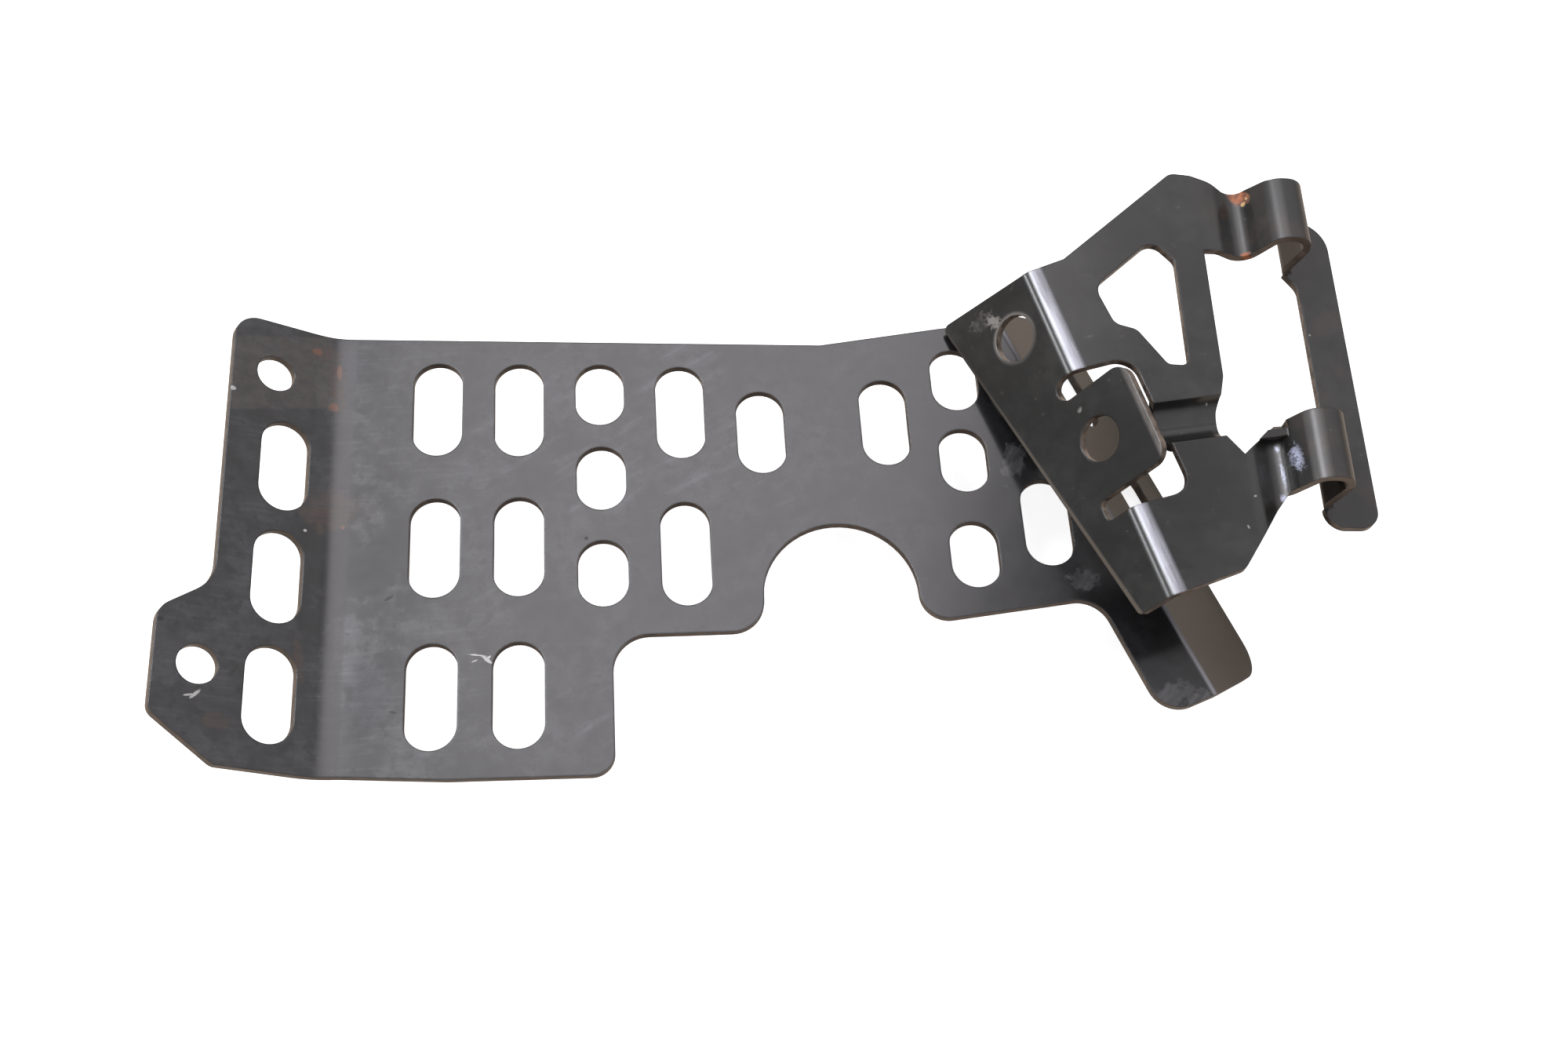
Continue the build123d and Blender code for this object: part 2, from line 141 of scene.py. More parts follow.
def window(tree, value, low, high, soft):
    """1 between two limits and 0 outside them, with soft edges; the limits are in mm."""
    opens = [value, (low - soft) * MM, (low + soft) * MM]
    shuts = [value, (high - soft) * MM, (high + soft) * MM, 1.0, 0.0]
    return together(
        tree,
        add_node(tree, "MapRange", opens, **SMOOTH),
        add_node(tree, "MapRange", shuts, **SMOOTH),
    )


def band(tree, place, way, low, high, soft):
    """Window between two planes square to a direction, at distances in mm along it."""
    return window(tree, add_node(tree, "VectorMath", [place, way], **ALONG), low, high, soft)


def speckle(tree, place, size, detail=3.0, roughness=0.55, shift=0.0):
    """Noise whose blotches are about the size given in mm; a shift keeps two noises apart."""
    shifts = (shift, 0.37 * shift, 0.61 * shift)
    noise = {
        "Vector": add_node(tree, "VectorMath", [place, shifts], operation="ADD"),
        "Scale": 1 / (size * MM * 2),
        "Detail": detail,
        "Roughness": roughness,
    }
    return add_node(tree, "TexNoise", noise)


def drawn_out(tree, place, turn, length, width, detail=2.0):
    """Noise drawn out along one direction of the sheet, as rolling and wiping leave it; mm."""
    mapped = {
        "Vector": place,
        "Rotation": (0.0, 0.0, turn),
        "Scale": (length * MM, width * MM, length * MM),
    }
    vector = add_node(tree, "Mapping", mapped, vector_type="TEXTURE")
    noise = {"Vector": vector, "Scale": 0.5, "Detail": detail, "Roughness": 0.5}
    return add_node(tree, "TexNoise", noise)


def spots(tree, place, noise, ragged, marks):
    """Share of some spots, each given by its centre and reach in mm and its turn about z.

    A spot is 1 within its reach and fades at the rim; the noise makes that rim ragged.
    """
    share = 0.0
    about_nought = add_node(tree, "Math", [noise, 0.5], operation="SUBTRACT")
    rough = add_node(tree, "Math", [about_nought, 4 * ragged], **TIMES)
    for centre, reach, turn in marks:
        mapped = {
            "Vector": place,
            "Location": tuple(MM * x for x in centre),
            "Rotation": (0.0, 0.0, turn),
            "Scale": tuple(MM * x for x in reach),
        }
        from_centre = add_node(tree, "Mapping", mapped, vector_type="TEXTURE")
        far = add_node(tree, "VectorMath", [from_centre], out="Value", operation="LENGTH")
        far = add_node(tree, "Math", [far, rough], operation="ADD")
        one = add_node(tree, "MapRange", [far, 1.15, 0.65], **SMOOTH)
        share = add_node(tree, "Math", [share, one], **LARGER)
    return share


# ---- places on the part ----------------------------------------------------------------------


def tilted(angle, heading):
    """Normal of a flat tilted by an angle, so that it faces down along a heading; degrees."""
    angle, heading = np.radians((angle, heading))
    level = float(np.sin(angle))
    return (level * float(np.cos(heading)), level * float(np.sin(heading)), float(np.cos(angle)))


FLAT = (0.0, 0.0, 1.0)
WING = tilted(31.5, 0.0)  # the plate's wing, bent up
LEG_FOLD = tilted(20.0, 20.9)  # half-way round the fold at the plate's leg
LEG = tilted(40.0, 20.9)  # the flange folded down there
RAKE = tilted(53.0, 194.26)  # the bracket's steep flange
RIDGE = (0.9692, 0.2463, 0.0)  # level, square to the ridge between flange and web
LIP = (-0.5196, -0.3461, -0.7812)  # in the steep flange, square to its lower edge
TAB_EDGE = (0.5833, 0.1490, 0.7986)  # in the steep flange, square to the tab's upper edge
SIDEWAYS = (0.0, 1.0, 0.0)

# sheets of each piece: the normal of a flat, and its two faces along it, mm
PLATE_SHEETS = ((FLAT, -0.05, 1.55), (WING, -43.12, -41.52), (LEG, 36.33, 37.93))
BRACKET_SHEETS = ((FLAT, 18.65, 20.27), (FLAT, 11.25, 12.87), (RAKE, -34.00, -32.38))
OUTER_FACE = (RAKE, -32.7, -32.2, 0.1)  # the steep flange's outer face and its softness, mm

# the rubbed place on the wing, between two pairs of planes and soft at its sides, mm
RUBBED_SIDES = (
    ((0.99, 0.13, 0.0), -94.7, -76.8, 0.4),
    ((-0.313, 0.95, 0.0), 50.5, 65.0, 0.4),
)

FLANGE_HOLE = (45.059, 31.345, 13.052)
HOLE_UPWARD = (-0.5, 0.86, 0.0)  # level, towards the side of the hole that wears most
WELD_FROM = (37.17, 37.11, 1.5)
WELD_TO = (35.87, 40.47, 1.5)


# ---- marks: the centre and the reach of each spot, mm, and its turn about z -------------------

CLEANER_PLACE = (((-75.0, -8.0, 1.5), (10.0, 17.0, 9.0), 0.0),)
THIN_RUST = (
    ((-81.6, 31.3, 1.5), (1.6, 6.5, 4.0), 0.1),
    ((-84.0, 37.0, 3.0), (3.0, 1.6, 4.0), 0.2),
    ((-82.0, 4.5, 1.5), (6.5, 4.2, 4.0), 0.0),
    ((-85.4, -25.1, 3.5), (0.8, 4.2, 4.0), 0.1),
    ((-96.7, -37.6, 10.5), (2.5, 1.4, 4.0), 0.2),
)
ORANGE_RUST = (
    ((-85.3, 37.3, 3.5), (0.9, 0.8, 3.0), 0.0),
    ((-82.2, 26.0, 1.6), (0.9, 0.8, 3.0), 0.0),
    ((-79.4, 1.4, 1.5), (0.4, 0.4, 3.0), 0.0),
    ((-81.4, 33.5, 1.5), (0.5, 1.6, 3.0), 0.0),
)
BLUISH_FILM = (
    ((-79.0, 35.5, 1.5), (2.0, 3.5, 3.0), 0.3),
    ((-74.0, -30.1, 1.5), (3.0, 6.0, 3.0), 0.0),
    ((-9.0, -26.5, 1.5), (3.0, 2.2, 3.0), 0.2),
)
DARK_PITS = (
    ((-70.9, -12.7, 1.5), (1.2, 0.35, 2.0), 0.5),
    ((-82.6, -12.0, 2.0), (1.0, 0.35, 2.0), 0.2),
    ((-69.5, -34.0, 1.5), (0.9, 0.3, 2.0), -0.3),
    ((-105.8, -21.5, 16.1), (0.5, 0.5, 2.0), 0.0),
    ((-36.0, -2.0, 1.5), (0.4, 0.4, 2.0), 0.0),
)
PLATE_CHIPS = (
    ((-100.0, -33.6, 12.6), (1.1, 0.28, 2.0), 0.9),
    ((-100.9, -33.9, 12.9), (0.9, 0.18, 2.0), 0.3),
    ((-98.3, 25.1, 11.5), (0.45, 0.45, 2.0), 0.0),
    ((-85.6, 0.0, 3.7), (0.35, 0.35, 2.0), 0.0),
    ((-55.3, -24.0, 1.5), (2.0, 0.18, 2.0), -0.15),
    ((-53.6, -24.9, 1.5), (1.3, 0.30, 2.0), -0.7),
    ((-53.4, -24.6, 1.5), (0.7, 0.22, 2.0), 0.7),
    ((-55.8, -25.1, 1.5), (0.8, 0.14, 2.0), 0.4),
)
# painted reflections and scuffs: the two spots by the bracket are pale blobs painted where the
# plate mirrors the lit bracket above it; the two at the leg's end are scuffs
PLATE_REFLECTIONS_AND_SCUFFS = (
    ((44.3, 11.6, 1.5), (2.0, 4.2, 3.0), -0.25),
    ((54.1, -12.9, 1.5), (3.0, 2.0, 3.0), 0.3),
    ((66.6, -36.2, 1.5), (4.4, 2.2, 3.0), 0.3),
    ((72.0, -37.4, 1.5), (2.6, 2.0, 3.0), 0.6),
)

HOOK_RUST = (
    ((90.6, 59.4, 18.5), (1.5, 2.6, 3.0), 0.5),
    ((91.5, 58.4, 19.4), (1.0, 1.7, 2.0), 0.5),
    ((90.4, 45.9, 18.0), (1.4, 0.6, 1.2), 0.0),
)
CREAM_FLECKS = (
    ((91.4, 57.0, 19.1), (0.4, 0.5, 0.7), 0.0),
    ((91.9, 57.9, 19.9), (0.2, 0.3, 0.4), 0.0),
)
HOLE_CHIP = (((41.9, 36.2, 10.4), (1.0, 2.0, 2.4), 0.75),)
HOLE_SMEAR = (((40.2, 37.7, 8.8), (2.4, 1.8, 2.8), 0.5),)
# pale chips and flecks, with one painted glint among them
BRACKET_CHIPS_AND_GLINT = (
    ((53.6, 13.0, 18.1), (0.6, 0.9, 1.0), -0.6),
    # painted glint by the channel, a pale spot put where a highlight shows
    ((61.0, -2.7, 22.4), (0.6, 0.6, 0.7), 0.0),
    ((76.8, 13.4, 18.5), (0.2, 0.3, 0.4), 0.0),
    ((81.8, -6.3, 20.2), (0.35, 0.25, 1.0), 0.4),
    ((79.4, -12.3, 20.2), (0.2, 0.4, 1.0), 0.3),
    ((101.7, 31.2, 12.8), (0.25, 0.25, 1.0), 0.0),
    ((88.5, 8.6, 20.2), (0.4, 0.3, 2.0), 0.0),
    ((87.5, 16.0, 20.2), (0.4, 0.3, 2.0), 0.0),
)
# painted highlights: pale bluish glints and streaks on the lower hook, put into the paint's colour
HOOK_PAINTED_GLINTS = (
    ((90.4, 0.6, 20.9), (0.8, 2.8, 3.0), 0.05),
    ((88.2, 3.9, 18.4), (0.45, 0.7, 3.0), 0.0),
    ((88.3, -1.4, 18.5), (0.35, 2.6, 3.0), 0.0),
    ((87.6, -6.1, 18.3), (0.6, 0.8, 3.0), 0.0),
)


# ---- paint -----------------------------------------------------------------------------------

# the darkest and the palest brown of the sheared edges
PLATE_BROWNS = ("#1b1815", "#3a2c22")
BRACKET_BROWNS = ("#211c19", "#584d44")
# pale grey of scuffs, also used for painted reflection blobs and the painted fold highlight
SCUFF_AND_HIGHLIGHT_GREY = "#77767a"
BROWN_TINT = "#3a2a21"
WELD_GLOSS = 0.3

PAINT_IOR = 1.5
HAZE_ROUGHENS = 0.16
GRAIN_ROUGHENS = 0.03
EDGE_ROUGHNESS = 0.34
ROUNDING = 0.42 * MM  # that the paint gives to an edge
RELIEF = 0.06 * MM  # of the sheet's waves and grain, as they show through the paint


def cut_face(tree, place, sheets):
    """Share of the sheared faces: those whose normal lies in the plane of their own sheet."""
    true = add_node(tree, "NewGeometry", out="True Normal")
    sheared = flat = 0.0
    for normal, low, high in sheets:
        inside = band(tree, place, normal, low, high, 0.05)
        facing = add_node(tree, "VectorMath", [true, normal], **ALONG)
        facing = add_node(tree, "Math", [facing], operation="ABSOLUTE")
        wall = add_node(tree, "MapRange", [facing, 0.06, 0.14, 1.0, 0.0], **SMOOTH)
        face = add_node(tree, "MapRange", [facing, 0.85, 0.95], **SMOOTH)
        sheared = add_node(tree, "Math", [sheared, together(tree, inside, wall)], **LARGER)
        flat = add_node(tree, "Math", [flat, together(tree, inside, face)], **LARGER)
    return together(tree, sheared, add_node(tree, "Math", [1.0, flat], operation="SUBTRACT"))


def black_paint(name, colour, haze, gloss, film, marks, sheets=(), browns=()):
    """Black dipped paint over cold-rolled steel sheet.

    Dipped paint is thin, black and glossy, so a flat face mirrors the light softly; handling
    leaves it with dull clouds and wiped streaks, the rolled sheet's grain shows through it, and
    it runs thin over the sheared edges, where the steel browns.  film is a function that gives
    a piece's share of dull film, from its places and the paint's fine grain, and marks one that
    adds its own marks and returns its colour, roughness and metallic.  A piece with sheared
    edges has its sheets given, and their browns.
    """
    material = empty_material(name)
    tree = material.node_tree
    place = add_node(tree, "TexCoord", out="Object")

    rolled = drawn_out(tree, place, turn=0.0, length=16.0, width=0.5)
    grain = speckle(tree, place, 0.9, detail=4.0, roughness=0.6, shift=0.3)
    blotches = speckle(tree, place, 1.5, detail=3.0, roughness=0.6, shift=1.7)
    blotches = add_node(tree, "MapRange", [blotches, 0.38, 0.68, 1.0, 0.4], **SMOOTH)
    dull = together(tree, film(tree, place, grain), blotches)
    base = toned(tree, colour, haze, dull)
    rough = add_node(tree, "Math", [dull, HAZE_ROUGHENS, gloss], **TIMES_PLUS)
    rough = add_node(tree, "Math", [rolled, GRAIN_ROUGHENS, rough], **TIMES_PLUS)

    base, rough, metal = marks(tree, place, grain, base, rough)

    if sheets:
        edge = cut_face(tree, place, sheets)
        patchy = add_node(tree, "MapRange", [grain, 0.35, 0.65], **SMOOTH)
        base = toned(tree, base, toned(tree, *browns, patchy), edge)
        edge_rough = together(tree, edge, EDGE_ROUGHNESS)
        rough = add_node(tree, "Math", [rough, edge_rough], **LARGER)

    waves = speckle(tree, place, 11.0, detail=2.0, roughness=0.5, shift=4.1)
    relief = add_node(tree, "Math", [rolled, 0.05, waves], **TIMES_PLUS)
    relief = add_node(tree, "Math", [grain, 0.012, relief], **TIMES_PLUS)
    rounded = add_node(tree, "Bevel", {"Radius": ROUNDING}, samples=4)
    bump = {"Strength": 1.0, "Distance": RELIEF, "Height": relief, "Normal": rounded}
    gloss_paint = {
        "Base Color": base,
        "Roughness": rough,
        "Metallic": metal,
        "IOR": PAINT_IOR,
        "Normal": add_node(tree, "Bump", bump),
    }
    shader = add_node(tree, "BsdfPrincipled", gloss_paint)
    add_node(tree, "OutputMaterial", {"Surface": shader})
    return material


def plate_film(tree, place, grain):
    """Most at the wing's end, in streaks wiped slantwise over the middle; less of it towards the
    bracket, a painted darkening that stands for the bracket's dark reflection in the plate.
    """
    x = add_node(tree, "SeparateXYZ", [place], out="X")
    clouds = speckle(tree, place, 8.0, detail=5.0, roughness=0.66)
    clouds = add_node(tree, "MapRange", [clouds, 0.36, 0.70], **SMOOTH)
    film = add_node(tree, "Math", [clouds, 0.30, 0.10], **TIMES_PLUS)

    slanted = drawn_out(tree, place, turn=0.55, length=8.0, width=1.2, detail=4.0)
    slanted = add_node(tree, "MapRange", [slanted, 0.50, 0.74], **SMOOTH)
    clusters = speckle(tree, place, 13.0, detail=1.0, roughness=0.4, shift=8.3)
    clusters = add_node(tree, "MapRange", [clusters, 0.46, 0.60], **SMOOTH)
    slanted = together(tree, slanted, clusters, window(tree, x, -55.0, 20.0, 12.0))
    film = add_node(tree, "Math", [slanted, 0.52, film], **TIMES_PLUS)

    level = drawn_out(tree, place, turn=0.05, length=3.5, width=0.35, detail=3.0)
    level = add_node(tree, "MapRange", [level, 0.45, 0.75], **SMOOTH)
    by_wing = add_node(tree, "MapRange", [x, -62 * MM, -45 * MM, 1.0, 0.25], **SMOOTH)
    film = add_node(tree, "Math", [together(tree, level, by_wing), 0.16, film], **TIMES_PLUS)

    cleaner = spots(tree, place, clouds, 0.3, CLEANER_PLACE)
    left_on = add_node(tree, "Math", [cleaner, -0.7, 1.0], **TIMES_PLUS)
    freckles = speckle(tree, place, 1.0, detail=2.0, roughness=0.5, shift=2.9)
    freckles = add_node(tree, "MapRange", [freckles, 0.58, 0.68, 1.0, 0.45], **SMOOTH)
    # painted shade: less pale film towards the bracket, so the plate darkens where it mirrors the
    # bracket's dark underside
    shade_by_bracket = add_node(tree, "MapRange", [x, 10 * MM, 40 * MM, 1.0, 0.25], **SMOOTH)
    return together(tree, film, left_on, freckles, shade_by_bracket)


def bracket_film(tree, place, grain):
    """Thin even clouds with a few pale flecks."""
    clouds = speckle(tree, place, 9.0, detail=4.0, roughness=0.6, shift=5.2)
    clouds = add_node(tree, "MapRange", [clouds, 0.38, 0.7], **SMOOTH)
    flecks = speckle(tree, place, 0.55, detail=1.0, roughness=0.4, shift=6.4)
    flecks = add_node(tree, "MapRange", [flecks, 0.74, 0.80], **SMOOTH)
    film = add_node(tree, "Math", [clouds, 0.16, 0.05], **TIMES_PLUS)
    return add_node(tree, "Math", [flecks, 0.35, film], **TIMES_PLUS)


def weld_film(tree, place, grain):
    """A little dust between the ripples."""
    return together(tree, grain, 0.2)


def plate_marks(tree, place, grain, base, rough):
    """Thin rust and rubbed places on the wing, its bend dulled, small chips, painted reflections
    and scuffs, a painted highlight along the leg's fold.
    """
    rubbed = together(
        tree,
        *(band(tree, place, *side) for side in RUBBED_SIDES),
        add_node(tree, "MapRange", [grain, 0.3, 0.7, 0.25, 0.7], **SMOOTH),
    )
    base = toned(tree, base, "#35312e", rubbed)

    streaked = drawn_out(tree, place, turn=0.05, length=5.0, width=0.5, detail=2.0)
    streaked = add_node(tree, "MapRange", [streaked, 0.38, 0.6, 0.35, 0.7], **SMOOTH)
    thin_rust = spots(tree, place, grain, 0.5, THIN_RUST)
    base = toned(tree, base, "#2e231d", thin_rust, streaked)
    base = toned(tree, base, "#5a3826", spots(tree, place, grain, 0.4, ORANGE_RUST), 0.55)
    base = toned(tree, base, "#25262c", spots(tree, place, grain, 0.6, BLUISH_FILM), 0.5)
    pits = spots(tree, place, grain, 0.3, DARK_PITS)
    base = toned(tree, base, "#0a0908", pits, 0.8)
    rough = add_node(tree, "Math", [rough, together(tree, pits, 0.6)], **LARGER)
    base = toned(tree, base, "#8e8d8c", spots(tree, place, grain, 0.45, PLATE_CHIPS), 0.85)

    x = add_node(tree, "SeparateXYZ", [place], out="X")
    wing_bend = window(tree, x, -88.0, -77.5, 4.5)
    rough = add_node(tree, "Math", [wing_bend, 0.05, rough], **TIMES_PLUS)

    # painted reflection blobs by the bracket and scuffs at the leg's end, pale grey in streaks
    wiped = drawn_out(tree, place, turn=0.9, length=1.6, width=0.4, detail=4.0)
    wiped = add_node(tree, "MapRange", [wiped, 0.3, 0.75, 0.35, 1.0], **SMOOTH)
    reflected_and_scuffed = spots(tree, place, grain, 0.7, PLATE_REFLECTIONS_AND_SCUFFS)
    base = toned(tree, base, SCUFF_AND_HIGHLIGHT_GREY, reflected_and_scuffed, wiped, 0.17)

    # painted highlight: a pale line along the fold between plate and leg, picked out by the normal
    # half-way round the bend
    true = add_node(tree, "NewGeometry", out="True Normal")
    fold = add_node(tree, "VectorMath", [true, LEG_FOLD], **ALONG)
    fold = add_node(tree, "MapRange", [fold, 0.955, 0.975], **SMOOTH)
    by_leg = add_node(tree, "MapRange", [x, 20 * MM, 30 * MM], **SMOOTH)
    return toned(tree, base, SCUFF_AND_HIGHLIGHT_GREY, fold, by_leg, 0.55), rough, 0.0


def worn_hooks(tree, place, grain, base, rough):
    """Bends dulled, sheared rims brown, rust in the upper hook's dip and cream flecks by it."""
    x, z = (add_node(tree, "SeparateXYZ", [place], out=axis) for axis in "XZ")
    bends = add_node(
        tree,
        "Math",
        [
            add_node(tree, "MapRange", [z, 20.3 * MM, 21.0 * MM], **SMOOTH),
            add_node(tree, "MapRange", [z, 19.2 * MM, 18.4 * MM], **SMOOTH),
        ],
        **LARGER,
    )
    over_bar = add_node(tree, "MapRange", [z, 13.2 * MM, 14.0 * MM], **SMOOTH)
    past_web = add_node(tree, "MapRange", [x, 83 * MM, 87 * MM], **SMOOTH)
    hooks = together(tree, bends, over_bar, past_web)
    rough = add_node(tree, "Math", [hooks, 0.12, rough], **TIMES_PLUS)

    true = add_node(tree, "NewGeometry", out="True Normal")
    rims = add_node(tree, "VectorMath", [true, SIDEWAYS], **ALONG)
    rims = add_node(tree, "Math", [rims], operation="ABSOLUTE")
    rims = add_node(tree, "MapRange", [rims, 0.9, 0.97], **SMOOTH)
    by_hooks = add_node(tree, "MapRange", [x, 81 * MM, 84 * MM], **SMOOTH)
    base = toned(tree, base, toned(tree, *BRACKET_BROWNS, grain), rims, by_hooks)

    rust = spots(tree, place, grain, 0.35, HOOK_RUST)
    patchy = add_node(tree, "MapRange", [grain, 0.38, 0.58], **SMOOTH)
    base = toned(tree, base, toned(tree, "#4a2c1e", "#7f492b", patchy), rust)
    rough = add_node(tree, "Math", [rough, together(tree, rust, 0.7)], **LARGER)
    base = toned(tree, base, "#b59666", spots(tree, place, grain, 0.3, CREAM_FLECKS), 0.6)
    return base, rough


def worn_hole(tree, place, grain, fine, base, rough):
    """Paint chipped and smeared round the steep flange's hole, most on its upper side."""
    middle = tuple(MM * x for x in FLANGE_HOLE)
    far = add_node(tree, "VectorMath", [place, middle], out="Value", operation="DISTANCE")
    upper = add_node(tree, "VectorMath", [place, HOLE_UPWARD], **ALONG)
    upper = add_node(tree, "MapRange", [upper, -1 * MM, 8 * MM, 0.3, 1.0], **SMOOTH)
    ring = together(tree, window(tree, far, 4.2, 5.0, 0.4), upper, 0.75)
    chipped = spots(tree, place, fine, 0.6, HOLE_CHIP)
    smear = add_node(tree, "MapRange", [grain, 0.35, 0.7, 0.08, 0.38], **SMOOTH)
    smeared = together(tree, spots(tree, place, fine, 0.9, HOLE_SMEAR), smear)
    worn = add_node(tree, "Math", [chipped, smeared], **LARGER)
    worn = add_node(tree, "Math", [ring, worn], **LARGER)
    rough = add_node(tree, "Math", [rough, together(tree, worn, 0.30)], **LARGER)
    return toned(tree, base, "#817e79", worn, 0.5), rough


def painted_edge_highlights(tree, place, base):
    """Painted highlights: pale lines along the steep flange's lower edge and the tab's upper one,
    where their rounded edges catch the light.
    """
    outer = band(tree, place, *OUTER_FACE)
    y = add_node(tree, "SeparateXYZ", [place], out="Y")
    # painted highlight along the flange's lower edge, strongest at its far end
    lip = band(tree, place, LIP, -33.7, -32.5, 0.3)
    far_end = add_node(tree, "MapRange", [y, 34 * MM, 4 * MM, 0.25, 1.0], **SMOOTH)
    base = toned(tree, base, "#544d44", lip, far_end, outer, 0.6)
    # painted highlight along the tab's upper edge, broken into streaks
    tab = band(tree, place, TAB_EDGE, 58.7, 61.0, 0.5)
    wear_and_sheen_streaks = drawn_out(tree, place, turn=-1.32, length=3.0, width=0.9, detail=2.0)
    wear_and_sheen_streaks = add_node(tree, "MapRange", [wear_and_sheen_streaks, 0.3, 0.7, 0.45, 0.9], **SMOOTH)
    return toned(tree, base, "#5c5956", tab, outer, wear_and_sheen_streaks)


def burnished_ridge(tree, place):
    """Share of the bend between flange and web that is worn down to the steel."""
    z = add_node(tree, "SeparateXYZ", [place], out="Z")
    true = add_node(tree, "NewGeometry", out="True Normal")
    bent = add_node(tree, "VectorMath", [true, RAKE], **ALONG)
    wear_and_sheen_streaks = drawn_out(tree, place, turn=-1.28, length=6.0, width=0.9, detail=3.0)
    return together(
        tree,
        band(tree, place, RIDGE, 56.2, 58.3, 0.5),
        add_node(tree, "MapRange", [bent, 0.985, 0.998, 1.0, 0.0], **SMOOTH),
        add_node(tree, "MapRange", [z, 17.2 * MM, 18.4 * MM], **SMOOTH),
        add_node(tree, "MapRange", [wear_and_sheen_streaks, 0.30, 0.62, 0.55, 1.0], **SMOOTH),
    )


def bracket_marks(tree, place, grain, base, rough):
    """Worn hooks and hole, chips and a painted glint, painted highlights along two edges and
    glints on the lower hook, a brown tint by the hooks, bright ridge.
    """
    fine = speckle(tree, place, 0.4, detail=4.0, roughness=0.65, shift=9.9)
    base, rough = worn_hooks(tree, place, grain, base, rough)
    base, rough = worn_hole(tree, place, grain, fine, base, rough)
    # pale chips and flecks, and a painted glint by the channel
    base = toned(tree, base, "#8a8883", spots(tree, place, grain, 0.4, BRACKET_CHIPS_AND_GLINT), 0.5)
    patchy = add_node(tree, "MapRange", [fine, 0.36, 0.6, 0.2, 1.0], **SMOOTH)
    # painted highlights on the lower hook: bluish glints, broken up by fine noise
    painted_glints = spots(tree, place, fine, 0.9, HOOK_PAINTED_GLINTS)
    base = toned(tree, base, "#9da2b6", painted_glints, patchy, 0.75)
    # painted highlights along two rounded edges
    base = painted_edge_highlights(tree, place, base)

    x = add_node(tree, "SeparateXYZ", [place], out="X")
    to_hooks = add_node(tree, "MapRange", [x, 80 * MM, 87 * MM], **SMOOTH)
    clouds = speckle(tree, place, 5.0, detail=3.0, roughness=0.6, shift=7.7)
    clouds = add_node(tree, "MapRange", [clouds, 0.5, 0.68], **SMOOTH)
    base = toned(tree, base, BROWN_TINT, to_hooks, clouds, 0.18)

    ridge = burnished_ridge(tree, place)
    base = toned(tree, base, "#7f8087", ridge)
    rough = add_node(tree, "Math", [ridge, 0.07, rough], **TIMES_PLUS)
    return base, rough, together(tree, ridge, 0.45)


def weld_marks(tree, place, grain, base, rough):
    """Painted over with the rest; only its toes show a little brown."""
    toes = add_node(tree, "SeparateXYZ", [place], out="Z")
    toes = add_node(tree, "MapRange", [toes, 2.3 * MM, 1.6 * MM], **SMOOTH)
    return toned(tree, base, BROWN_TINT, toes, grain), rough, 0.0


def paint(node_name, material):
    """Put a finish on every material slot of a node of the part."""
    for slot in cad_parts[node_name].material_slots:
        slot.material = material


# ---- weld ------------------------------------------------------------------------------------

DOME = 2.6  # power that shapes the bead's ends: 2 is round, more is squarer
LAG = 0.45 * MM  # by which the ripples bow along the bead at its crown
RINGS, AROUND = 73, 48  # rings along the bead, and points round each


def new_piece(name, places, faces):
    """New mesh object in the scene."""
    mesh = bpy.data.meshes.new(name)
    mesh.from_pydata(places.tolist(), [], faces)
    piece = bpy.data.objects.new(name, mesh)
    bpy.context.scene.collection.objects.link(piece)
    return piece


def closed_surface(name, points):
    """Smooth closed surface given as rings of points, its first and last ring at a pole."""
    rows, around = points.shape[0] - 2, points.shape[1]
    places = np.concatenate([points[0, :1], points[1:-1].reshape(-1, 3), points[-1, :1]])
    ring = np.arange(rows * around).reshape(rows, around) + 1
    beside = np.roll(ring, -1, axis=1)
    sides = np.stack([ring[:-1], ring[1:], beside[1:], beside[:-1]], axis=-1).reshape(-1, 4)
    start = np.stack([np.zeros(around, int), ring[0], beside[0]], axis=-1)
    end = np.stack([np.full(around, len(places) - 1), beside[-1], ring[-1]], axis=-1)
    piece = new_piece(name, places, start.tolist() + sides.tolist() + end.tolist())
    piece.data.shade_smooth()
    return piece


def weld_bead(name, start, end, radius, overrun, pitch, ripple):
    """Short weld bead lying on the plate, from start to end in mm; its sizes are in metres.

    s runs along the bead from -1 to 1 and v once round it.  The ring at s has the radius
    radius (1 - |s|^dome)^(1/dome), which is round in the middle and closes in a dome at each
    end, times 1 + ripple cos(2 pi (s half - lag sin v) / pitch) for the bowed ripples that a
    pool leaves as it sets.  Points below the plate's upper face are laid on that face.
    """
    start, end = np.array(start) * MM, np.array(end) * MM
    way = (end - start) / np.linalg.norm(end - start)
    half = np.linalg.norm(end - start) / 2 + overrun
    side = np.cross(way, FLAT)
    s = np.sin(np.linspace(-np.pi / 2, np.pi / 2, RINGS))[:, None]
    v = np.linspace(0.0, 2 * np.pi, AROUND, endpoint=False)[None, :]
    rise = np.sin(v) + 0.0 * s
    body = radius * (1 - np.abs(s) ** DOME) ** (1 / DOME)
    ring = body * (1 + ripple * np.cos(2 * np.pi * (s * half - LAG * rise) / pitch))
    across = (ring * np.cos(v))[..., None] * side
    up = np.maximum(ring * rise, 0.0)[..., None] * np.array(FLAT)
    centre = (start + end) / 2 + (s * half)[..., None] * way
    return closed_surface(name, centre + across + up)


# ---- studio ----------------------------------------------------------------------------------

VIEW_PLACE = (-0.029086, -0.141011, 0.290821)
VIEW_TURN = (
    (0.99557, 0.02712, -0.09000),
    (-0.06390, 0.89751, -0.43634),
    (0.06894, 0.44016, 0.89527),
)
SENSOR_MM = 36.0
LENS_MM = SENSOR_MM * 2250.0 / 1999.0  # focal length over the picture's width, both in pixels

